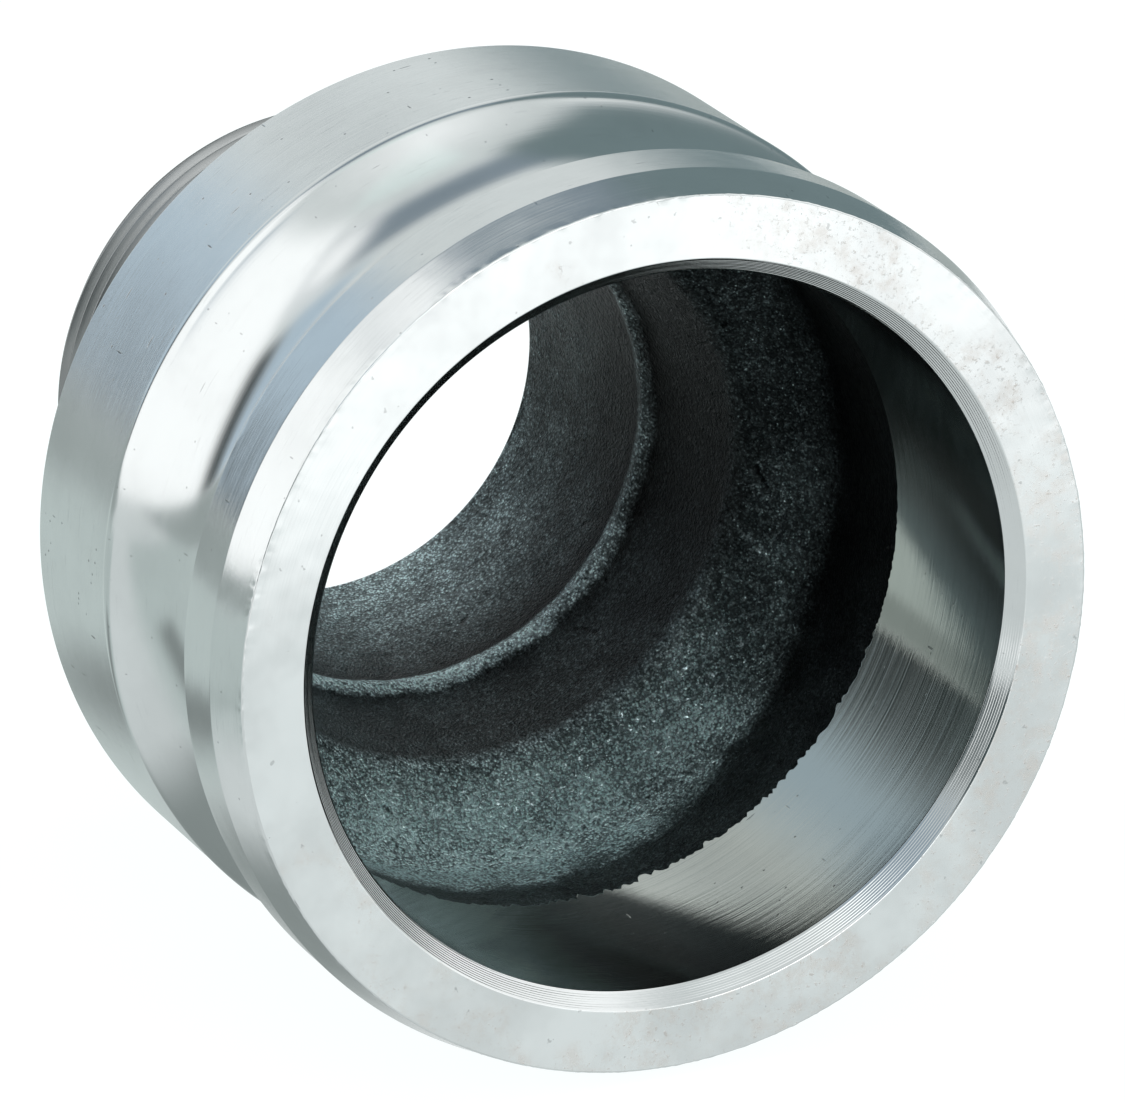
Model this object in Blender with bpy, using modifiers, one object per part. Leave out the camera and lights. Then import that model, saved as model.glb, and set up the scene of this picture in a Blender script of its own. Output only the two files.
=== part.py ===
"""A one-piece cam-and-groove male adapter, 3 inch cam end to 2 inch male pipe thread.

Units are metres and +Z is up. The adapter lies on its side with its axis along Y. Its front
sealing face looks towards -Y and its threaded end towards +Y. The origin is on the axis, midway
between the two end faces.

The outline below is written in millimetres as (radius, depth) pairs, where depth is the distance
behind the front sealing face.
"""

import math

import bmesh
import bpy

MM = 0.001
INCH = 25.4

# Overall, in mm.
OVERALL_LENGTH = 90.0

# Cam end: a tapered tip, a cylindrical land, the groove that the cam arms bear in, and a collar.
TIP_RADIUS = 45.7
FACE_RADIUS = 44.5
TAPER_END = 5.2
LAND_END = 11.7
GROOVE_END = 33.4
GROOVE_BOTTOM_RADIUS = 41.4
GROOVE_BOTTOM_DEPTH = 21.0
COLLAR_RADIUS = 45.3
COLLAR_SHOULDER = 2.0
COLLAR_END = 52.1
COLLAR_CHAMFER = 0.8

# Neck between the collar and the thread.
NECK_START_RADIUS = 41.0
NECK_END_RADIUS = 33.0
NECK_END = 62.0
NECK_FILLET = 3.0

# Pipe thread: 11.5 turns to the inch, tapering 1 in 16 on the diameter.
THREAD_PITCH = INCH / 11.5
THREAD_TAPER = 1 / 32
THREAD_CREST_RADIUS = 29.4
THREAD_CREST_DEPTH = 88.0
THREAD_START = 64.5
THREAD_HEIGHT = 0.8 * THREAD_PITCH
THREAD_FLANK_ANGLE = math.radians(30)
THREAD_LEAD_IN = 1.25 * THREAD_PITCH
THREAD_UNCUT = 0.75
THREAD_RUN_OUT = 1.2 * THREAD_HEIGHT
CUTTER_CLEARANCE = 0.05
CUTTER_BACK = 1.0
END_CHAMFER = 1.5

# Machined mouth of the bore.
BORE_RADIUS = 36.6
BORE_CHAMFER = 1.6
BORE_DEPTH = 25.6

# As-cast inside: a bowl that opens slightly, a shoulder, a throat, a bead and the rear bore.
CAST_STEP = 0.4
BOWL_RADIUS = 37.8
BOWL_END = 42.0
BOWL_FILLET = 7.0
THROAT_RADIUS = 29.4
THROAT_START = 48.6
THROAT_FILLET = 3.5
THROAT_END_RADIUS = 27.4
THROAT_END = 63.3
BEAD_RADIUS = 26.3
BEAD_DEPTH = 65.2
BEAD_FOOT_RADIUS = 26.65
BEAD_FOOT_DEPTH = 67.6
BEAD_FILLET = 1.2
REAR_BORE_RADIUS = 24.4

# Facets.
STEPS = 64
ARC_STEP = math.radians(15)

SURFACE_COLOUR = (0.52, 0.54, 0.53, 1.0)
SURFACE_ROUGHNESS = 0.34


def crest_radius(depth):
    """Radius of the thread's crests at a depth."""
    return THREAD_CREST_RADIUS + (THREAD_CREST_DEPTH - depth) * THREAD_TAPER


def arc(centre, radius, start, end):
    """Points on a circular arc between two angles, both ends included."""
    count = max(2, math.ceil(abs(end - start) / ARC_STEP))
    return [
        (
            centre[0] + radius * math.cos(start + (end - start) * i / count),
            centre[1] + radius * math.sin(start + (end - start) * i / count),
        )
        for i in range(count + 1)
    ]


def rounded(before, corner, after, radius):
    """The arc that rounds a corner between two straight stretches."""
    towards_before = math.atan2(before[1] - corner[1], before[0] - corner[0])
    towards_after = math.atan2(after[1] - corner[1], after[0] - corner[0])
    opening = math.remainder(towards_after - towards_before, math.tau)
    half = abs(opening) / 2
    middle = towards_before + opening / 2
    centre = (
        corner[0] + radius / math.sin(half) * math.cos(middle),
        corner[1] + radius / math.sin(half) * math.sin(middle),
    )
    swing = math.copysign(math.pi / 2 - half, opening)
    return arc(centre, radius, middle + math.pi + swing, middle + math.pi - swing)


def groove_side(edge_depth):
    """Centre, radius and reach of the arc from the groove's bottom to its edge at a depth."""
    half_width = abs(edge_depth - GROOVE_BOTTOM_DEPTH)
    sink = TIP_RADIUS - GROOVE_BOTTOM_RADIUS
    radius = (half_width**2 + sink**2) / (2 * sink)
    centre = (GROOVE_BOTTOM_RADIUS + radius, GROOVE_BOTTOM_DEPTH)
    return centre, radius, math.asin(half_width / radius)


def groove():
    """The cam groove: two shallow arcs that meet at its bottom, with a rounded shoulder."""
    centre, radius, reach = groove_side(LAND_END)
    front = arc(centre, radius, math.pi + reach, math.pi)
    centre, radius, reach = groove_side(GROOVE_END)
    rear = arc(centre, radius, math.pi, math.pi - reach)
    points = front + rear[1:]
    last = points[-2]
    corner = (COLLAR_RADIUS, GROOVE_END)
    return points[:-2] + rounded(last, corner, (COLLAR_RADIUS, COLLAR_END), COLLAR_SHOULDER)


def outside():
    """The outline from the front face's outer edge to the threaded end's outer edge."""
    neck_start = (NECK_START_RADIUS, COLLAR_END)
    neck_end = (NECK_END_RADIUS, NECK_END)
    end_crest = crest_radius(OVERALL_LENGTH - END_CHAMFER)
    return [
        (FACE_RADIUS, 0),
        (TIP_RADIUS, TAPER_END),
        *groove(),
        (COLLAR_RADIUS, COLLAR_END - COLLAR_CHAMFER),
        (COLLAR_RADIUS - COLLAR_CHAMFER, COLLAR_END),
        *rounded((COLLAR_RADIUS, COLLAR_END), neck_start, neck_end, NECK_FILLET),
        neck_end,
        (crest_radius(THREAD_START), THREAD_START),
        (end_crest, OVERALL_LENGTH - END_CHAMFER),
        (end_crest - END_CHAMFER, OVERALL_LENGTH),
    ]


def inside():
    """The outline from the threaded end's inner edge back to the mouth of the bore."""
    bowl_start = (BORE_RADIUS + CAST_STEP, BORE_DEPTH + CAST_STEP)
    bowl_end = (BOWL_RADIUS, BOWL_END)
    throat_start = (THROAT_RADIUS, THROAT_START)
    throat_end = (THROAT_END_RADIUS, THROAT_END)
    bead = (BEAD_RADIUS, BEAD_DEPTH)
    bead_foot = (BEAD_FOOT_RADIUS, BEAD_FOOT_DEPTH)
    return [
        (REAR_BORE_RADIUS, OVERALL_LENGTH),
        bead_foot,
        *rounded(bead_foot, bead, throat_end, BEAD_FILLET),
        *rounded(bead, throat_end, throat_start, BEAD_FILLET),
        *rounded(throat_end, throat_start, bowl_end, THROAT_FILLET),
        *rounded(throat_start, bowl_end, bowl_start, BOWL_FILLET),
        bowl_start,
        (BORE_RADIUS, BORE_DEPTH),
        (BORE_RADIUS, BORE_CHAMFER),
        (BORE_RADIUS + BORE_CHAMFER, 0),
    ]


def height(depth):
    """A depth behind the front face as a height on the turning axis, in metres."""
    return (OVERALL_LENGTH / 2 - depth) * MM


def new_object(name, mesh, collection, parent):
    """An object for a mesh, in a collection and under the axis empty."""
    thing = bpy.data.objects.new(name, mesh)
    collection.objects.link(thing)
    thing.parent = parent
    return thing


def new_collection(name):
    """A collection in the scene."""
    collection = bpy.data.collections.new(name)
    bpy.context.scene.collection.children.link(collection)
    return collection


def cast_steel():
    """The material of the whole casting: turned steel, slightly stained."""
    material = bpy.data.materials.new("cast_steel")
    material.use_nodes = True
    shader = material.node_tree.nodes["Principled BSDF"]
    shader.inputs["Base Color"].default_value = SURFACE_COLOUR
    shader.inputs["Metallic"].default_value = 1.0
    shader.inputs["Roughness"].default_value = SURFACE_ROUGHNESS
    return material


def turned_profile():
    """The closed outline as a mesh of edges, front outer edge first."""
    outline = outside() + inside()
    points = [(radius * MM, 0, height(depth)) for radius, depth in outline]
    edges = [(i, (i + 1) % len(points)) for i in range(len(points))]
    mesh = bpy.data.meshes.new("adapter_body")
    mesh.from_pydata(points, edges, [])
    return mesh


def thread_section():
    """The cross-section that the thread cutter sweeps, as (outward, upward) pairs in mm."""
    half_width = (THREAD_HEIGHT + CUTTER_CLEARANCE) * math.tan(THREAD_FLANK_ANGLE)
    return [
        (-THREAD_HEIGHT, 0),
        (CUTTER_CLEARANCE, half_width),
        (CUTTER_BACK, half_width),
        (CUTTER_BACK, -half_width),
        (CUTTER_CLEARANCE, -half_width),
    ]


def thread_cutter(collection, parent):
    """A helical cutter with a V edge, which starts beyond the end face and runs out at the neck."""
    first_depth = OVERALL_LENGTH + THREAD_LEAD_IN
    turns = (first_depth - THREAD_START) / THREAD_PITCH - THREAD_UNCUT
    count = round(turns * STEPS)
    work = bmesh.new()
    section = [
        work.verts.new(((THREAD_CREST_RADIUS + out) * MM, 0, height(first_depth - up)))
        for out, up in thread_section()
    ]
    loop = [work.edges.new((section[i - 1], section[i])) for i in range(len(section))]
    bmesh.ops.spin(
        work,
        geom=section + loop,
        axis=(0, 0, 1),
        dvec=(0, 0, THREAD_PITCH / STEPS * MM),
        angle=math.tau * count / STEPS,
        steps=count,
    )
    bmesh.ops.holes_fill(work, edges=work.edges[:], sides=0)
    work.verts.index_update()
    for vert in work.verts:
        ring = vert.index // len(section)
        depth = first_depth - ring * THREAD_PITCH / STEPS
        lift = max(0, ring - count + STEPS) / STEPS * THREAD_RUN_OUT
        shift = (THREAD_CREST_DEPTH - depth) * THREAD_TAPER + lift
        radial = vert.co.xy.normalized() * shift * MM
        vert.co.xy += radial
    bmesh.ops.recalc_face_normals(work, faces=work.faces)
    mesh = bpy.data.meshes.new("thread_cutter")
    work.to_mesh(mesh)
    work.free()
    cutter = new_object("thread_cutter", mesh, collection, parent)
    cutter.hide_render = True
    cutter.display_type = "WIRE"
    return cutter


def adapter_body(collection, parent, cutter):
    """The casting: the outline turned round the axis, with the thread cut in it."""
    body = new_object("adapter_body", turned_profile(), collection, parent)
    turn = body.modifiers.new("turn", "SCREW")
    turn.axis = "Z"
    turn.steps = STEPS
    turn.render_steps = STEPS
    turn.use_smooth_shade = True
    cut = body.modifiers.new("thread", "BOOLEAN")
    cut.operation = "DIFFERENCE"
    cut.solver = "EXACT"
    cut.object = cutter
    body.data.materials.append(cast_steel())
    return body


def main():
    for thing in list(bpy.data.objects):
        bpy.data.objects.remove(thing)
    parts = new_collection("camlock_adapter")
    cutters = new_collection("cutters")
    axis = new_object("adapter_axis", None, parts, None)
    axis.rotation_euler = (math.pi / 2, 0, 0)
    cutter = thread_cutter(cutters, axis)
    adapter_body(parts, axis, cutter)


main()
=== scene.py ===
"""The looks of a one-piece cam-and-groove male adapter: a steel casting with turned faces.

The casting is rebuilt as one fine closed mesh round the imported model's axis, which lies along Y.
The front sealing face looks towards -Y. Shapes are written in millimetres as a radius and a depth
behind the front face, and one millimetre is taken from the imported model's own size.
"""

import collections
import math

import bmesh
import bpy
import numpy as np
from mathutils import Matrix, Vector, noise


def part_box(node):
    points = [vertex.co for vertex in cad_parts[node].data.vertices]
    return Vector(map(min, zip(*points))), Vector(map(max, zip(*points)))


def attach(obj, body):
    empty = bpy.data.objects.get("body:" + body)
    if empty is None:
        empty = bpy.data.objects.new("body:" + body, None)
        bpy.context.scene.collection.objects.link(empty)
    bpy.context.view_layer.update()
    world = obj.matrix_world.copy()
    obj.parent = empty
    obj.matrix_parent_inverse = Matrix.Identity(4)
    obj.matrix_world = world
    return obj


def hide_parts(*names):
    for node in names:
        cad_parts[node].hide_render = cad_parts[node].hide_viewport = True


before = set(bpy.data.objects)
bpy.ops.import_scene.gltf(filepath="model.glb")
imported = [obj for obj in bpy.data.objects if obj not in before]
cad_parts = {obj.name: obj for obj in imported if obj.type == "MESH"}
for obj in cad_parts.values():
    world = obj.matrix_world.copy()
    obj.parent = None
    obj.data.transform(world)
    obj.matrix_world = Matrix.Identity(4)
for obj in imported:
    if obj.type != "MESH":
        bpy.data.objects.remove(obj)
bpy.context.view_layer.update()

NODE = "adapter_body"

# The outline's driving sizes, in mm.
OVERALL_LENGTH = 90.0
TIP_RADIUS = 45.7
FACE_RADIUS = 44.5
TAPER_END = 5.2
LAND_END = 11.7
GROOVE_END = 33.4
GROOVE_BOTTOM_RADIUS = 41.4
GROOVE_BOTTOM_DEPTH = 21.0
COLLAR_RADIUS = 45.3
SHOULDER_FILLET = 2.0
SHOULDER_PROUD = 0.06
COLLAR_END = 52.1
COLLAR_CHAMFER = 0.8
NECK_START_RADIUS = 41.0
NECK_END_RADIUS = 33.0
NECK_END = 62.0
NECK_FILLET = 3.0
THREAD_PITCH = 25.4 / 11.5
THREAD_TAPER = 1 / 32
THREAD_CREST_RADIUS = 29.4
THREAD_CREST_DEPTH = 88.0
THREAD_START = 64.5
THREAD_HEIGHT = 0.8 * THREAD_PITCH
THREAD_FLANK_ANGLE = math.radians(30)
THREAD_RUN_OUT = 1.2 * THREAD_HEIGHT
END_CHAMFER = 1.5
BORE_RADIUS = 36.6
BORE_CHAMFER = 1.6
BORE_DEPTH = 25.6
CAST_STEP = 0.4
BOWL_RADIUS = 37.8
BOWL_END = 42.0
BOWL_FILLET = 7.0
THROAT_RADIUS = 29.4
THROAT_START = 48.6
THROAT_FILLET = 3.5
THROAT_END_RADIUS = 27.4
THROAT_END = 63.3
BEAD_RADIUS = 26.3
BEAD_DEPTH = 65.2
BEAD_FOOT_RADIUS = 26.65
BEAD_FOOT_DEPTH = 67.6
BEAD_FILLET = 1.2
REAR_BORE_RADIUS = 24.4
REAR_BREAK = 0.5
EDGE = 0.18

FRONT = -OVERALL_LENGTH / 2
MM_PER_METRE = 1000.0

# The fine mesh.
COLUMNS = 720
ARC_STEP = math.radians(6)
GROOVE_STEP = math.radians(1)
GUARD = 0.1
WELD_DISTANCE = 1e-6

# The thread's rows, in turns: half a crest's flat, the rows across one turn, and the fading end.
THREAD_FLAT = 0.038
THREAD_ROWS = [-0.05, -0.03, 0.03, 0.05, 0.2, 0.35, 0.47, 0.5, 0.53, 0.65, 0.8]
THREAD_FADE_END = 1.75

# Small irregularities of the surface, in mm: how high they stand and how far across they are.
SWELL_HEIGHT, SWELL_SIZE = 0.16, 9.0
BUMP_HEIGHT, BUMP_SIZE = 0.08, 2.6
GRAIN_HEIGHT, GRAIN_SIZE = 0.060, 0.95
WORN_HEIGHT, WORN_SIZE = 0.012, 2.2
BURR_HEIGHT, BURR_SIZE, BURR_WIDTH = 0.10, 0.7, 0.5
RING_HEIGHT, RING_COUNT, RING_FADE = 0.010, 9, 0.2
WANDER_HEIGHT, WANDER_SIZE = 0.12, 4.0
JAG_HEIGHT, JAG_SIZE = 2.0, 0.9
CAST_FADE = 0.8
BORE_END_FADE = 3.0

Corner = collections.namedtuple("Corner", "radius depth fillet zone step")


# ---------------------------------------------------------------- outline


def arc(centre, radius, start, end, step=ARC_STEP):
    """Points on a circular arc between two angles, both ends included."""
    count = max(3, math.ceil(abs(end - start) / step))
    turn = np.linspace(start, end, count + 1)
    return [(centre[0] + radius * math.cos(a), centre[1] + radius * math.sin(a)) for a in turn]


def rounded(before, corner, after, radius):
    """The arc that rounds a corner between two straight stretches."""
    if not radius:
        return [corner]
    towards_before = math.atan2(before[1] - corner[1], before[0] - corner[0])
    towards_after = math.atan2(after[1] - corner[1], after[0] - corner[0])
    opening = math.remainder(towards_after - towards_before, math.tau)
    half = abs(opening) / 2
    middle = towards_before + opening / 2
    centre = (
        corner[0] + radius / math.sin(half) * math.cos(middle),
        corner[1] + radius / math.sin(half) * math.sin(middle),
    )
    swing = math.copysign(math.pi / 2 - half, opening)
    return arc(centre, radius, middle + math.pi + swing, middle + math.pi - swing)


def stretch(start, end, step):
    """Points strictly between two others: evenly spaced, with one close to each end."""
    length = math.dist(start, end)
    if length < 3 * GUARD:
        return []
    count = max(1, math.ceil((length - 2 * GUARD) / step))
    along = np.linspace(GUARD, length - GUARD, count + 1) / length
    return [(start[0] + (end[0] - start[0]) * t, start[1] + (end[1] - start[1]) * t) for t in along]


def groove_side(edge_depth):
    """Centre and radius of the arc from the groove's bottom to its edge at a depth."""
    half_width = abs(edge_depth - GROOVE_BOTTOM_DEPTH)
    sink = TIP_RADIUS - GROOVE_BOTTOM_RADIUS
    radius = (half_width**2 + sink**2) / (2 * sink)
    return (GROOVE_BOTTOM_RADIUS + radius, GROOVE_BOTTOM_DEPTH), radius


def groove_corners():
    """The cam groove's two shallow arcs, and the rounded shoulder that meets the collar."""
    centre, radius = groove_side(LAND_END)
    reach = math.asin((GROOVE_BOTTOM_DEPTH - LAND_END) / radius)
    points = arc(centre, radius, math.pi + reach, math.pi, GROOVE_STEP)
    centre, radius = groove_side(GROOVE_END)
    top = COLLAR_RADIUS + SHOULDER_PROUD - SHOULDER_FILLET
    over = math.acos((centre[0] - top) / (radius + SHOULDER_FILLET))
    shoulder = (top, centre[1] + (radius + SHOULDER_FILLET) * math.sin(over))
    end = math.pi / 2 - math.asin((COLLAR_RADIUS - top) / SHOULDER_FILLET)
    points += arc(centre, radius, math.pi, math.pi - over, GROOVE_STEP)[1:]
    points += arc(shoulder, SHOULDER_FILLET, -over, end)[1:]
    return [Corner(r, d, 0, "groove", 1.0) for r, d in points[1:-1]] + [
        Corner(points[-1][0], points[-1][1], 0, "collar", 0.7)
    ]


def corners():
    """The closed outline, from the front face's outer edge round by the outside and the bore."""
    return [
        Corner(FACE_RADIUS, 0, EDGE, "taper", 0.6),
        Corner(TIP_RADIUS, TAPER_END, 0.6, "land", 0.6),
        Corner(TIP_RADIUS, LAND_END, EDGE, "groove", 0.6),
        *groove_corners(),
        Corner(COLLAR_RADIUS, COLLAR_END - COLLAR_CHAMFER, EDGE, "collar", 0.5),
        Corner(COLLAR_RADIUS - COLLAR_CHAMFER, COLLAR_END, EDGE, "neck", 0.7),
        Corner(NECK_START_RADIUS, COLLAR_END, NECK_FILLET, "neck", 0.7),
        Corner(NECK_END_RADIUS, NECK_END, 1.0, "neck", 0.7),
        Corner(crest_radius(THREAD_START), THREAD_START, 0, "thread", 1.0),
        Corner(REAR_BORE_RADIUS + REAR_BREAK, OVERALL_LENGTH, 0, "neck", 0.4),
        Corner(REAR_BORE_RADIUS, OVERALL_LENGTH - REAR_BREAK, EDGE, "cast", 0.42),
        Corner(BEAD_FOOT_RADIUS, BEAD_FOOT_DEPTH, 0.6, "cast", 0.36),
        Corner(BEAD_RADIUS, BEAD_DEPTH, BEAD_FILLET, "cast", 0.36),
        Corner(THROAT_END_RADIUS, THROAT_END, BEAD_FILLET, "cast", 0.4),
        Corner(THROAT_RADIUS, THROAT_START, THROAT_FILLET, "cast", 0.4),
        Corner(BOWL_RADIUS, BOWL_END, BOWL_FILLET, "cast", 0.4),
        Corner(BORE_RADIUS + CAST_STEP, BORE_DEPTH + CAST_STEP, EDGE, "cast", 0.2),
        Corner(BORE_RADIUS, BORE_DEPTH, 0, "bore", 0.6),
        Corner(BORE_RADIUS, BORE_CHAMFER, EDGE, "chamfer", 0.05),
        Corner(BORE_RADIUS + BORE_CHAMFER, 0, EDGE, "face", 0.6),
    ]


def crest_radius(depth):
    """Radius of the thread's crests at a depth."""
    return THREAD_CREST_RADIUS + (THREAD_CREST_DEPTH - depth) * THREAD_TAPER


# ---------------------------------------------------------------- mesh


def thread_grid(angle):
    """Radius and depth for rows that wind round with the pipe thread, up to the end face."""
    turns = math.ceil((OVERALL_LENGTH - THREAD_START) / THREAD_PITCH) + 2
    phase = (np.arange(turns)[:, None] + THREAD_ROWS).ravel()
    wound = angle / math.tau
    depth = THREAD_START + THREAD_PITCH * (phase[:, None] - 1 + wound)
    depth = np.clip(depth, THREAD_START, OVERALL_LENGTH)
    turn = (depth - THREAD_START) / THREAD_PITCH + 1 - wound
    across = np.abs(turn - np.round(turn))
    cut = np.maximum(0, across - THREAD_FLAT) * THREAD_PITCH / math.tan(THREAD_FLANK_ANGLE)
    middle = np.floor(turn) - 0.5 + wound
    lift = np.clip(THREAD_FADE_END - middle, 0, 1) * THREAD_RUN_OUT
    radius = crest_radius(depth) - np.maximum(0, cut - lift)
    end_crest = crest_radius(OVERALL_LENGTH - END_CHAMFER)
    chamfer = end_crest + OVERALL_LENGTH - END_CHAMFER - depth
    return np.minimum(radius, chamfer), depth


def outline_rows():
    """Each row of the outline as (radius, depth, zone), with the thread as one marker row."""
    chain = corners()
    rows = []
    for i, here in enumerate(chain):
        before, after = chain[i - 1], chain[(i + 1) % len(chain)]
        rows.append([rounded(before[:2], here[:2], after[:2], here.fillet), here])
    points = []
    for i, (bend, here) in enumerate(rows):
        following = rows[(i + 1) % len(rows)][0]
        zone = here.zone
        if zone == "thread":
            points.append((*bend[0], zone))
            continue
        for point in bend + stretch(bend[-1], following[0], here.step):
            points.append((*point, zone))
    return points + [points[0]]


def grid():
    """The surface as a grid: radius and depth at each place, each row's zone, and the angles."""
    angle = np.linspace(0, math.tau, COLUMNS + 1)
    radius, depth, zone = [], [], []
    for row in outline_rows():
        if row[2] == "thread":
            wound_radius, wound_depth = thread_grid(angle)
            radius += list(wound_radius)
            depth += list(wound_depth)
            zone += ["thread"] * len(wound_radius)
            radius.append(wound_radius[-1] - GUARD)
            depth.append(wound_depth[-1])
            zone.append("neck")
        else:
            radius.append(np.full(COLUMNS + 1, row[0]))
            depth.append(np.full(COLUMNS + 1, row[1]))
            zone.append(row[2])
    return np.array(radius), np.array(depth), np.array(zone), angle


def row_normals(radius, depth):
    """Each grid point's outward direction in the outline's plane, as (radial, deeper) parts."""
    along_radius = np.gradient(radius, axis=0)
    along_depth = np.gradient(depth, axis=0)
    length = np.hypot(along_radius, along_depth)
    length[length < 1e-9] = 1
    return along_depth / length, -along_radius / length


def placed(radius, depth, angle):
    """Grid points in mm, with the axis along Y and the front face at y = 0."""
    return np.stack([radius * np.cos(angle), depth, radius * np.sin(angle)], axis=-1)


def lumps(points, size, shift=0.0):
    """Smooth noise at points in mm, with features about the given size across."""
    flat = (points.reshape(-1, 3) / size + shift).tolist()
    return np.array([noise.noise(p) for p in flat]).reshape(points.shape[:-1])


def cast_skin(points):
    """How far the as-cast surface stands proud at points in mm."""
    swell = SWELL_HEIGHT * lumps(points, SWELL_SIZE)
    bumps = BUMP_HEIGHT * lumps(points, BUMP_SIZE, 40.0)
    grain = GRAIN_HEIGHT * lumps(points, GRAIN_SIZE, 80.0)
    return swell + bumps + grain


def bore_end_shift(angle):
    """How far the end of the turned bore wanders, in mm, at angles round the axis."""
    around = placed(np.full_like(angle, BORE_RADIUS), np.zeros_like(angle), angle)
    wander = WANDER_HEIGHT * lumps(around, WANDER_SIZE, 11.0)
    jagged = JAG_HEIGHT * np.abs(lumps(around, JAG_SIZE, 23.0))
    rough = np.clip(0.55 - 0.65 * np.sin(angle + 0.5), 0.1, 1.0)
    return (wander + jagged) * rough


def surface():
    """The grid with every small irregularity added."""
    radius, depth, zone, angle = grid()
    out_radius, out_depth = row_normals(radius, depth)
    points = placed(radius, depth, angle)
    move = np.zeros_like(radius)

    cast = zone == "cast"
    move[cast] = cast_skin(points[cast])
    from_end = np.minimum(OVERALL_LENGTH - REAR_BREAK - depth[cast], depth[cast] - BORE_DEPTH)
    move[cast] *= np.clip(from_end / CAST_FADE, 0, 1)

    chamfer = zone == "chamfer"
    slope = BORE_RADIUS + BORE_CHAMFER - radius[chamfer]
    from_edge = np.minimum(slope, BORE_CHAMFER - slope)
    rings = np.cos(slope / BORE_CHAMFER * math.tau * RING_COUNT)
    move[chamfer] = RING_HEIGHT * rings * np.clip(from_edge / RING_FADE, 0, 1)

    worn = np.isin(zone, ["taper", "land", "face"])
    move[worn] += WORN_HEIGHT * lumps(points[worn], WORN_SIZE, 5.0)
    burred = (depth < BURR_WIDTH) & (radius > FACE_RADIUS - BURR_WIDTH)
    move[burred] += BURR_HEIGHT * np.abs(lumps(points[burred], BURR_SIZE, 31.0))
    radius = radius + move * out_radius
    depth = depth + move * out_depth

    near_end = np.clip(1 - np.abs(depth - BORE_DEPTH) / BORE_END_FADE, 0, 1)
    inner = (zone == "cast") | (zone == "bore")
    depth = depth + (near_end * inner[:, None]) * bore_end_shift(angle)
    return radius, depth, zone, angle


ZONE_MATERIAL = {
    "taper": "turned",
    "land": "turned",
    "groove": "polished",
    "collar": "satin",
    "neck": "satin",
    "thread": "threaded",
    "cast": "cast",
    "bore": "bored",
    "chamfer": "chamfered",
    "face": "faced",
}


def body_mesh(materials, millimetre, front):
    """The casting's mesh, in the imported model's frame."""
    radius, depth, zone, angle = surface()
    points = placed(radius, depth, angle) * millimetre
    points[..., 1] += front
    rows, columns = radius.shape
    index = np.arange(rows * columns).reshape(rows, columns)
    quads = np.stack([index[:-1, :-1], index[:-1, 1:], index[1:, 1:], index[1:, :-1]], axis=-1)
    mesh = bpy.data.meshes.new("adapter_casting")
    mesh.from_pydata(points.reshape(-1, 3).tolist(), [], quads.reshape(-1, 4).tolist())
    names = list(materials)
    slots = np.array([names.index(ZONE_MATERIAL[name]) for name in zone[:-1]])
    mesh.polygons.foreach_set("material_index", np.repeat(slots, columns - 1))
    for material in materials.values():
        mesh.materials.append(material)
    work = bmesh.new()
    work.from_mesh(mesh)
    bmesh.ops.remove_doubles(work, verts=work.verts[:], dist=WELD_DISTANCE)
    bmesh.ops.recalc_face_normals(work, faces=work.faces[:])
    work.to_mesh(mesh)
    work.free()
    mesh.shade_smooth()
    return mesh


# ---------------------------------------------------------------- node helpers


class Graph:
    """Short calls that add nodes to a node tree and join them."""

    def __init__(self, tree):
        self.tree = tree
        tree.nodes.clear()

    def add(self, kind, inputs=None, **settings):
        """A node with some inputs set to numbers or joined to sockets."""
        node = self.tree.nodes.new("ShaderNode" + kind)
        for name, value in settings.items():
            setattr(node, name, value)
        for name, value in (inputs or {}).items():
            if isinstance(value, bpy.types.NodeSocket):
                self.tree.links.new(value, node.inputs[name])
            else:
                node.inputs[name].default_value = value
        return node

    def math(self, operation, first, second=0.0, third=0.0):
        """The result of a Math node."""
        inputs = {0: first, 1: second, 2: third}
        return self.add("Math", inputs, operation=operation).outputs[0]

    def times(self, *factors):
        """The product of sockets and numbers."""
        result = factors[0]
        for factor in factors[1:]:
            result = self.math("MULTIPLY", result, factor)
        return result

    def between(self, value, start, end):
        """0 at start and beyond it, 1 at end and beyond it, and smooth between the two."""
        inputs = {"Value": value, "From Min": start, "From Max": end}
        return self.add("MapRange", inputs, interpolation_type="SMOOTHSTEP").outputs["Result"]

    def mix(self, factor, first, second):
        """One colour turning into another as factor goes from 0 to 1."""
        inputs = {0: factor, 6: first, 7: second}
        return self.add("Mix", inputs, data_type="RGBA").outputs[2]

    def blend(self, factor, first, second):
        """One number turning into another as factor goes from 0 to 1."""
        return self.add("Mix", {0: factor, 2: first, 3: second}).outputs[0]

    def noise(self, vector, scale, detail, roughness):
        """Smooth noise about 0.5."""
        inputs = {"Vector": vector, "Scale": scale, "Detail": detail, "Roughness": roughness}
        return self.add("TexNoise", inputs).outputs["Fac"]

    def noise_vector(self, vector, scale, reach):
        """A smooth random shift, up to about half the reach each way."""
        texture = self.add("TexNoise", {"Vector": vector, "Scale": scale, "Detail": 2.0})
        return scaled(self, texture.outputs["Color"], reach)

    def bump(self, height, distance, strength):
        """The normal of a surface raised by a height times a distance in metres."""
        inputs = {"Height": height, "Distance": distance, "Strength": strength}
        return self.add("Bump", inputs).outputs["Normal"]


STEEL_TINT = (0.96, 1.0, 1.0)


def grey(value, tint=STEEL_TINT):
    """A slightly tinted grey as an RGBA colour."""
    return tuple(value * part for part in tint) + (1.0,)


def new_material(name):
    """An empty material and the graph to build it with."""
    material = bpy.data.materials.new(name)
    material.use_nodes = True
    return material, Graph(material.node_tree)


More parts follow.
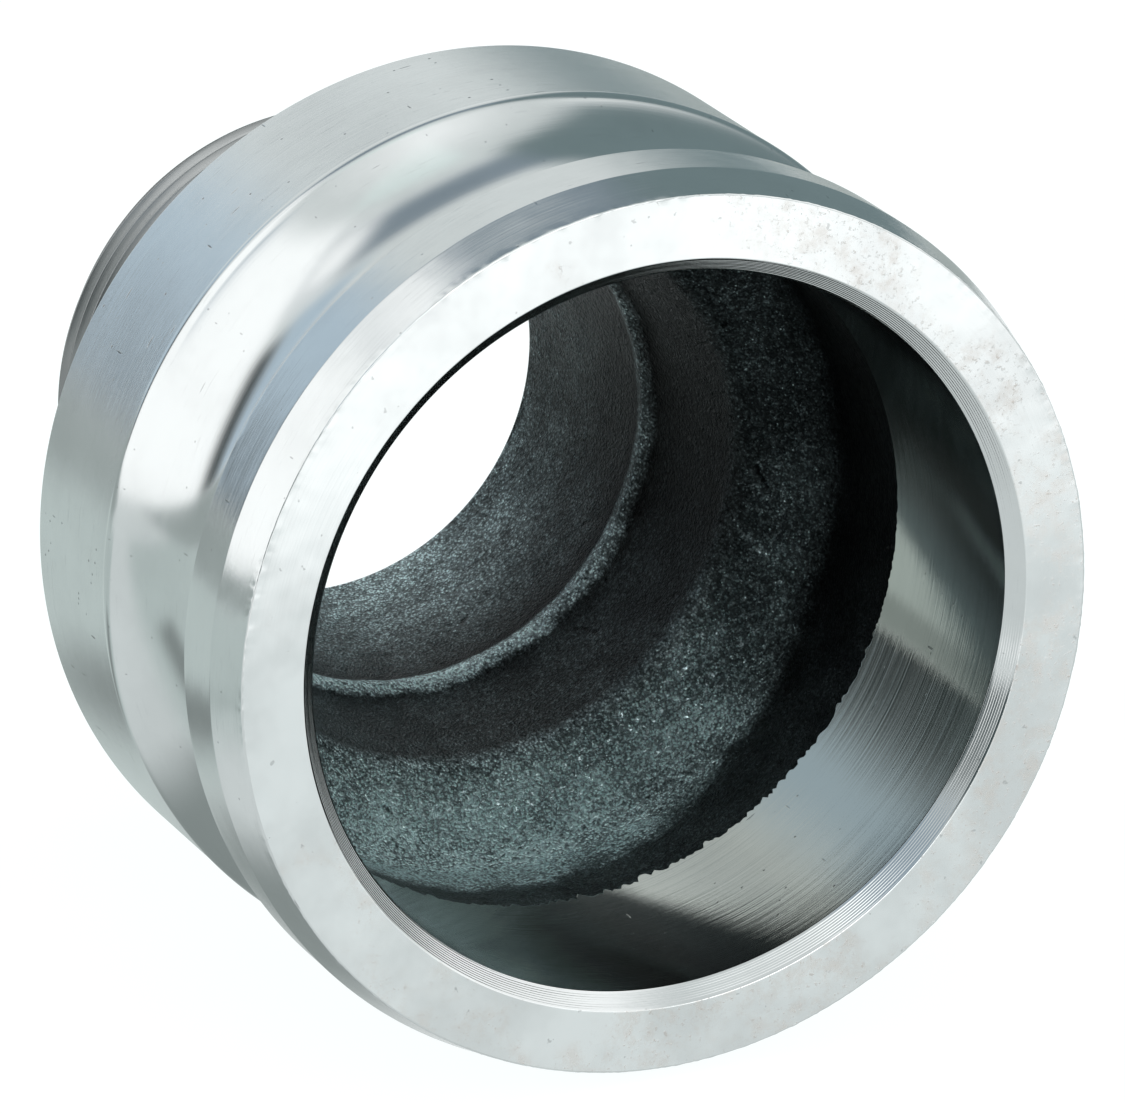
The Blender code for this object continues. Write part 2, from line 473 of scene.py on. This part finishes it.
def finish_material(material, graph, inputs):
    """Ends a material as metal with the given inputs."""
    shader = graph.add("BsdfPrincipled", {"Metallic": 1.0, **inputs})
    graph.add("OutputMaterial", {"Surface": shader.outputs[0]})
    return material


def coordinates(graph):
    """Object coordinates in mm, their three parts, and the radius that they give."""
    place = scaled(graph, graph.add("TexCoord").outputs["Object"], MM_PER_METRE)
    parts = graph.add("SeparateXYZ", {0: place}).outputs
    square = graph.math("ADD", graph.times(parts[0], parts[0]), graph.times(parts[2], parts[2]))
    return place, parts, graph.math("SQRT", square)


def scaled(graph, vector, amount):
    """A vector made longer by an amount."""
    return graph.add("VectorMath", {0: vector, "Scale": amount}, operation="SCALE").outputs[0]


def stretched(graph, parts, around, along):
    """Object coordinates scaled by one amount across the axis and another along it."""
    inputs = {
        0: graph.times(parts[0], around),
        1: graph.times(parts[1], along),
        2: graph.times(parts[2], around),
    }
    return graph.add("CombineXYZ", inputs).outputs[0]


def turning_marks(graph, parts, radius, per_mm):
    """Noise that runs round the axis, as a lathe tool leaves it."""
    inputs = {
        0: graph.times(radius, per_mm),
        1: graph.times(parts[1], per_mm),
        2: graph.times(parts[0], 0.02),
    }
    vector = graph.add("CombineXYZ", inputs).outputs[0]
    return graph.noise(vector, 1.0, 3.0, 0.65)


def nicks(graph, vector, share, size):
    """1 on scattered small marks: one in a share of the cells of a Voronoi pattern."""
    cells = graph.add("TexVoronoi", {"Vector": vector, "Scale": 1.0})
    pick = graph.add("SeparateColor", {0: cells.outputs["Color"]}).outputs[0]
    chosen = graph.math("LESS_THAN", pick, share)
    return graph.times(chosen, graph.between(cells.outputs["Distance"], size, size * 0.4))


# Relief of the bump in metres, and the colours of stains on the face and of the cast skin.
TURNED_RELIEF = 0.00004
CAST_RELIEF = 0.0003
STAIN = (0.50, 0.40, 0.33, 1.0)
SPECK = (0.30, 0.21, 0.16, 1.0)
CAST_TINT = (0.80, 1.0, 1.03)
BORE_TINT = (0.95, 1.0, 0.93)


def turned_steel(name, albedo, roughness, marks, per_mm=3.0, wear=0.5, tint=STEEL_TINT):
    """Steel as the lathe left it: fine rings, short streaks, nicks and small dark pits.

    marks is how strong the rings are, per_mm how close they lie, and wear how much the steel shows
    its streaks, nicks and pits.
    """
    material, graph = new_material(name)
    place, parts, radius = coordinates(graph)
    rings = turning_marks(graph, parts, radius, per_mm)
    fine = turning_marks(graph, parts, radius, per_mm * 4)
    cloud = graph.noise(place, 0.09, 4.0, 0.6)
    streaks = graph.noise(stretched(graph, parts, 0.25, 3.5), 1.0, 3.0, 0.7)
    dark_streaks = graph.between(streaks, 0.60, 0.74)
    pits = nicks(graph, scaled(graph, place, 0.75), 0.16, 0.13)
    across = nicks(graph, stretched(graph, parts, 0.75, 0.12), 0.35, 0.09)
    along = nicks(graph, stretched(graph, parts, 0.10, 0.9), 0.35, 0.08)
    marked = graph.math("MAXIMUM", pits, graph.math("MAXIMUM", across, along))
    clouded = graph.between(cloud, 0.35, 0.7)
    colour = graph.mix(clouded, grey(albedo, tint), grey(albedo * 0.93, tint))
    colour = graph.mix(graph.times(dark_streaks, 0.4 * wear), colour, grey(albedo * 0.55, tint))
    colour = graph.mix(graph.times(marked, wear), colour, grey(albedo * 0.35, tint))
    level = graph.blend(rings, roughness * 0.8, roughness * 1.2)
    level = graph.math("ADD", level, graph.times(dark_streaks, 0.08 * wear))
    height = graph.math("ADD", graph.times(rings, 0.6), graph.times(fine, 0.4))
    height = graph.math("SUBTRACT", height, graph.times(marked, 1.2 * wear))
    normal = graph.bump(height, TURNED_RELIEF, marks)
    inputs = {"Base Color": colour, "Roughness": level, "Normal": normal}
    return finish_material(material, graph, inputs)


def stained_face():
    """The sealing face: turned rings under soft rust-brown stains, fine specks and scratches."""
    material, graph = new_material("sealing_face")
    place, parts, radius = coordinates(graph)
    rings = turning_marks(graph, parts, radius, 4.0)
    side = graph.math("ADD", graph.times(parts[0], 0.028), graph.times(parts[2], -0.012))
    patches = graph.math("ADD", graph.noise(place, 0.10, 3.0, 0.6), graph.times(side, 0.12))
    stained = graph.between(patches, 0.47, 0.66)
    smudges = graph.times(stained, graph.between(graph.noise(place, 0.45, 5.0, 0.7), 0.42, 0.68))
    specks = graph.times(stained, graph.between(graph.noise(place, 1.6, 4.0, 0.75), 0.56, 0.66))
    scratch = nicks(graph, stretched(graph, parts, 0.45, 1.0), 0.2, 0.05)
    hair = graph.between(graph.noise(stretched(graph, parts, 0.9, 1.0), 1.0, 2.0, 0.5), 0.70, 0.74)
    cloud = graph.between(graph.noise(place, 0.07, 4.0, 0.6), 0.35, 0.65)
    colour = graph.mix(cloud, grey(0.64), grey(0.75))
    colour = graph.mix(graph.times(smudges, 0.28), colour, STAIN)
    colour = graph.mix(graph.times(specks, 0.35), colour, SPECK)
    colour = graph.mix(graph.times(graph.math("MAXIMUM", scratch, hair), 0.5), colour, grey(0.35))
    level = graph.blend(smudges, 0.13, 0.32)
    height = graph.math("ADD", graph.times(rings, 0.5), graph.times(specks, 0.8))
    normal = graph.bump(graph.math("SUBTRACT", height, scratch), TURNED_RELIEF, 0.45)
    inputs = {"Base Color": colour, "Roughness": level, "Normal": normal}
    return finish_material(material, graph, inputs)


# Where the painted light and painted shade on the cast skin start and end, as depths in mm from
# nothing to full: painted highlights on the shoulder and the bead, painted light towards the rear,
# and painted shade in the hollow behind the bead.
SHOULDER_RISE = (40.5, 45.5)
SHOULDER_FALL = (51.5, 46.5)
BEAD_RISE = (64.0, 65.6)
BEAD_FALL = (67.4, 66.6)
REAR_RISE = (68.0, 90.0)
HOLLOW_RISE = (66.8, 67.4)
HOLLOW_FALL = (69.6, 68.0)
# The side of the bore where the painted light is brightest, and how far forward the painted light
# reaches there, in mm.
PAINTED_LIGHT_SIDE = (-0.6, -0.8)
PAINTED_LIGHT_REACH = 9.0


def cast_shade(graph, parts, radius, cloud):
    """How bright the cast skin is at each place, as two factors.

    Part of the photo's light and dark inside the bore is set here by depth and side, so it stays in
    place whatever the light.
    """
    # lit is painted light: the bore is made brighter on its lower side towards -X.
    x, z = [graph.times(part, side) for part, side in zip((parts[0], parts[2]), PAINTED_LIGHT_SIDE)]
    across = graph.math("ADD", x, z)
    lit = graph.math("ADD", graph.math("DIVIDE", across, radius), graph.times(cloud, 0.4))
    lit = graph.between(lit, -0.4, 1.15)
    depth = graph.math("ADD", graph.math("SUBTRACT", parts[1], FRONT), graph.times(cloud, 1.5))
    forward = graph.math("ADD", depth, graph.times(lit, lit, PAINTED_LIGHT_REACH))
    # shoulder is a painted highlight on the shoulder that faces the mouth, reaching further forward
    # on the painted lit side.
    rise = graph.between(forward, *SHOULDER_RISE)
    shoulder = graph.times(rise, graph.between(depth, *SHOULDER_FALL))
    painted_bead_highlight = graph.times(graph.between(depth, *BEAD_RISE), graph.between(depth, *BEAD_FALL))
    painted_rear_light = graph.times(graph.between(depth, *REAR_RISE), 0.45)
    painted_hollow_shade = graph.times(graph.between(depth, *HOLLOW_RISE), graph.between(depth, *HOLLOW_FALL))
    # bright holds the painted highlights and the painted light, by depth.
    bright = graph.math("MAXIMUM", graph.math("MAXIMUM", shoulder, painted_bead_highlight), painted_rear_light)
    # strength is painted light by side, dimmed by the painted shade in the hollow behind the bead.
    strength = graph.math("ADD", graph.times(lit, 2.0), 0.28)
    strength = graph.times(strength, graph.math("SUBTRACT", 1.0, graph.times(painted_hollow_shade, 0.7)))
    return bright, strength


def cast_steel():
    """As-cast steel: black and grainy with a few cracks, its colour holding painted light and shade
    and small painted glints, brightest on its shoulders.
    """
    material, graph = new_material("cast_skin")
    place, parts, radius = coordinates(graph)
    cloud = graph.noise(place, 0.16, 4.0, 0.6)
    # bright and strength are painted light and painted shade, set by depth and side.
    bright, strength = cast_shade(graph, parts, radius, cloud)

    jitter = graph.noise_vector(place, 3.0, 0.3)
    rough = graph.add("VectorMath", {0: place, 1: jitter}, operation="ADD").outputs[0]
    cells = graph.add("TexVoronoi", {"Vector": rough, "Scale": 3.0})
    grain = graph.between(cells.outputs["Distance"], 0.62, 0.15)
    tone = graph.between(graph.noise(place, 1.7, 4.0, 0.75), 0.36, 0.64)
    # Small painted glints: bright specks put in the colour.
    painted_glint = nicks(graph, scaled(graph, rough, 3.8), 0.22, 0.42)

    bend = graph.noise_vector(place, 0.35, 1.6)
    bent = graph.add("VectorMath", {0: rough, 1: bend}, operation="ADD").outputs[0]
    edges = {"Vector": bent, "Scale": 0.06}
    edge = graph.add("TexVoronoi", edges, feature="DISTANCE_TO_EDGE").outputs["Distance"]
    crack = graph.times(graph.between(edge, 0.022, 0.006), graph.between(cloud, 0.60, 0.66))

    patchy = graph.blend(graph.between(cloud, 0.38, 0.66), 0.7, 1.35)
    # The colour's level: the painted light bands and side light, random tone and patches, grain,
    # painted glints and cracks.
    level = graph.times(graph.blend(bright, 0.042, 0.74), graph.blend(tone, 0.4, 1.5), patchy)
    level = graph.times(level, graph.blend(grain, 0.3, 1.2))
    painted_sparkle = graph.times(painted_glint, graph.blend(bright, 1.5, 4.0))
    level = graph.times(level, strength, graph.math("ADD", 1.0, painted_sparkle))
    level = graph.times(level, graph.math("SUBTRACT", 1.0, graph.times(crack, 0.75)))
    level = graph.math("MINIMUM", level, 1.0)
    colour = scaled(graph, CAST_TINT, level)

    height = graph.math("ADD", graph.times(grain, 0.6), graph.times(tone, 0.6))
    height = graph.math("SUBTRACT", height, crack)
    normal = graph.bump(height, CAST_RELIEF, 0.9)
    inputs = {"Base Color": colour, "Roughness": 0.3, "Normal": normal}
    return finish_material(material, graph, inputs)


def materials():
    """The materials of the casting, by the name that ZONE_MATERIAL uses."""
    return {
        "turned": turned_steel("turned_land", 0.62, 0.12, 0.35),
        "polished": turned_steel("polished_groove", 0.62, 0.15, 0.12, 2.0, wear=0.4),
        "satin": turned_steel("satin_collar", 0.64, 0.2, 0.5, wear=1.0),
        "threaded": turned_steel("cut_thread", 0.25, 0.25, 0.3),
        "cast": cast_steel(),
        "bored": turned_steel("turned_bore", 0.42, 0.07, 0.45, 1.5, tint=BORE_TINT),
        "chamfered": turned_steel("bore_chamfer", 0.58, 0.10, 0.2, wear=0.3),
        "faced": stained_face(),
    }


# ---------------------------------------------------------------- studio

# The studio is a guess from what the metal mirrors. A patch is a soft light or a dark gap, by its
# direction from the object. Azimuth is measured from +Y towards +X, and angles are in degrees.
# Later ones cover earlier ones.
Patch = collections.namedtuple("Patch", "azimuth half_width low high edge level tint")

WHITE = (1.0, 1.0, 1.0)
COOL = (0.90, 1.0, 0.98)
BLUE = (0.80, 0.97, 1.12)
DIM = (0.75, 1.0, 1.05)

BELOW = -20
BACKDROP_LEVEL = 1.3
WALL_LEVEL = 1.0
BACK_WALL_TOP = Patch(0, 45, 35, 55, 5, 0.4, BLUE)
BACK_WALL_SHADE = Patch(-20, 10, BELOW, 30, 5, 0.8, BLUE)
LEFT_GAP = Patch(-36, 7, BELOW, 25, 4, 0.05, DIM)
RIGHT_CURTAIN = Patch(50, 25, BELOW, 60, 6, 0.3, DIM)
RIGHT_STRIP = Patch(60, 10, BELOW, 5, 3, 1.5, WHITE)
BACK_SOFTBOX = Patch(-30, 10, 35, 55, 8, 1.5, WHITE)
LEFT_SOFTBOX = Patch(-75, 35, BELOW, 60, 6, 1.6, WHITE)
KEY_LIGHT = Patch(180, 25, 10, 45, 8, 2.5, WHITE)
CAMERA_GAP = Patch(-125, 15, -5, 25, 5, 0.12, DIM)
CAMERA_WALL = Patch(-125, 25, 30, 60, 6, 0.6, BLUE)
RIGHT_SOFTBOX = Patch(110, 28, 15, 60, 8, 1.6, WHITE)
BACK_OVERHEAD = Patch(-15, 30, 65, 90, 4, 1.2, COOL)
OVERHEAD = Patch(0, 200, 80, 100, 15, 1.5, WHITE)
STUDIO = (
    BACK_WALL_TOP,
    BACK_WALL_SHADE,
    LEFT_GAP,
    RIGHT_CURTAIN,
    RIGHT_STRIP,
    BACK_SOFTBOX,
    LEFT_SOFTBOX,
    KEY_LIGHT,
    CAMERA_GAP,
    CAMERA_WALL,
    RIGHT_SOFTBOX,
    BACK_OVERHEAD,
    OVERHEAD,
)

# A pool of light or a shadow on the floor, in mm from the middle of the adapter.
Pool = collections.namedtuple("Pool", "left right near far edge level tint")

FAR = 2000
FLOOR_SIZE = 6.0
FLOOR_LEVEL = 0.96
# What the camera sees of the floor: its colour, its glow, and the share of glow in the whole.
SEEN_FLOOR_LEVEL = 0.82
SEEN_GLOW_LEVEL = 1.12
SEEN_GLOW_SHARE = 0.85
# The share of glow in what the metal sees of the floor.
GLOW_SHARE = 0.8
FLOOR_BEHIND = Pool(-FAR, FAR, 250, FAR, 20, 0.5, COOL)
FLOOR_IN_FRONT = Pool(-300, FAR, -FAR, -200, 40, 1.4, WHITE)
SHADE_LEFT = Pool(-400, 20, 20, 250, 15, 0.75, COOL)
SHADE_RIGHT = Pool(15, 300, -30, 70, 15, 0.6, COOL)
SHADE_UNDER_TIP = Pool(-60, -25, -40, 20, 12, 0.4, COOL)
SHADE_STREAK = Pool(-130, -40, 40, 70, 12, 0.35, COOL)
FLOOR = (
    FLOOR_BEHIND,
    FLOOR_IN_FRONT,
    SHADE_LEFT,
    SHADE_RIGHT,
    SHADE_UNDER_TIP,
    SHADE_STREAK,
)


def studio_light(graph, azimuth, elevation, level, patches):
    """The light that comes from a direction in degrees: an even level, covered by patches."""
    light = grey(level)
    for patch in patches:
        aside = graph.math("WRAP", graph.math("SUBTRACT", azimuth, patch.azimuth), 180.0, -180.0)
        aside = graph.math("ABSOLUTE", aside)
        inside = graph.times(
            graph.between(aside, patch.half_width + patch.edge, patch.half_width - patch.edge),
            graph.between(elevation, patch.low - patch.edge, patch.low + patch.edge),
            graph.between(elevation, patch.high + patch.edge, patch.high - patch.edge),
        )
        light = graph.mix(inside, light, grey(patch.level, patch.tint))
    return light


def studio_world():
    """A pale studio with broad soft lights. The camera itself sees plain white behind the floor."""
    world = bpy.data.worlds.new("studio")
    world.use_nodes = True
    graph = Graph(world.node_tree)
    direction = graph.add("TexCoord").outputs["Generated"]
    x, y, z = graph.add("SeparateXYZ", {0: direction}).outputs
    azimuth = graph.math("DEGREES", graph.math("ARCTAN2", x, y))
    elevation = graph.math("DEGREES", graph.math("ARCSINE", z))
    light = studio_light(graph, azimuth, elevation, WALL_LEVEL, STUDIO)
    camera = graph.add("LightPath").outputs["Is Camera Ray"]
    light = graph.mix(camera, light, grey(BACKDROP_LEVEL))
    background = graph.add("Background", {"Color": light})
    graph.add("OutputWorld", {"Surface": background.outputs[0]})
    bpy.context.scene.world = world


def floor(height, millimetre):
    """A plain pale floor under the object. The metal sees it lit in soft pools."""
    mesh = bpy.data.meshes.new("floor")
    work = bmesh.new()
    bmesh.ops.create_grid(work, x_segments=1, y_segments=1, size=FLOOR_SIZE)
    work.to_mesh(mesh)
    work.free()
    thing = bpy.data.objects.new("floor", mesh)
    thing.location.z = height
    bpy.context.scene.collection.objects.link(thing)
    material, graph = new_material("pale_floor")
    place = graph.add("TexCoord").outputs["Object"]
    parts = graph.add("SeparateXYZ", {0: place}).outputs
    x, y = [graph.times(part, 1 / millimetre) for part in parts[:2]]
    pools = grey(FLOOR_LEVEL)
    for pool in FLOOR:
        inside = graph.times(
            graph.between(x, pool.left - pool.edge, pool.left + pool.edge),
            graph.between(x, pool.right + pool.edge, pool.right - pool.edge),
            graph.between(y, pool.near - pool.edge, pool.near + pool.edge),
            graph.between(y, pool.far + pool.edge, pool.far - pool.edge),
        )
        pools = graph.mix(inside, pools, grey(pool.level, pool.tint))
    camera = graph.add("LightPath").outputs["Is Camera Ray"]
    diffuse = graph.add("BsdfDiffuse", {"Color": graph.mix(camera, pools, grey(SEEN_FLOOR_LEVEL))})
    glow = graph.add("Emission", {"Color": graph.mix(camera, pools, grey(SEEN_GLOW_LEVEL))})
    share = graph.blend(camera, GLOW_SHARE, SEEN_GLOW_SHARE)
    both = graph.add("MixShader", {0: share, 1: diffuse.outputs[0], 2: glow.outputs[0]})
    graph.add("OutputMaterial", {"Surface": both.outputs[0]})
    mesh.materials.append(material)


# The camera: its lens in mm, the way it looks, and the point it looks at, its distance and how far
# it sees, in radii of the adapter's tip.
LENS = 298.6
SENSOR_WIDTH = 36.0
VIEW_DIRECTION = (0.38134, 0.86103, -0.33644)
VIEW_TARGET = (-0.046, -0.525, 0.041)
VIEW_DISTANCE = 20.0
VIEW_REACH = 400


def camera(radius):
    """The camera, at the angle from which the adapter is shown."""
    data = bpy.data.cameras.new("camera")
    data.lens = LENS
    data.sensor_width = SENSOR_WIDTH
    thing = bpy.data.objects.new("camera", data)
    bpy.context.scene.collection.objects.link(thing)
    forward = Vector(VIEW_DIRECTION).normalized()
    thing.location = (Vector(VIEW_TARGET) - forward * VIEW_DISTANCE) * radius
    thing.rotation_mode = "QUATERNION"
    thing.rotation_quaternion = forward.to_track_quat("-Z", "Y")
    data.clip_start = radius
    data.clip_end = VIEW_REACH * radius
    bpy.context.scene.camera = thing


# ---------------------------------------------------------------- assembly


def main():
    """Builds the casting, the floor, the studio and the camera."""
    low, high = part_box(NODE)
    radius = (high.x - low.x) / 2
    millimetre = radius / TIP_RADIUS

    mesh = body_mesh(materials(), millimetre, low.y)
    casting = bpy.data.objects.new("adapter_casting", mesh)
    bpy.context.scene.collection.objects.link(casting)
    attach(casting, "root")
    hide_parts(NODE)

    floor(low.z, millimetre)
    studio_world()
    camera(radius)
    bpy.context.scene.view_settings.view_transform = "Standard"


main()
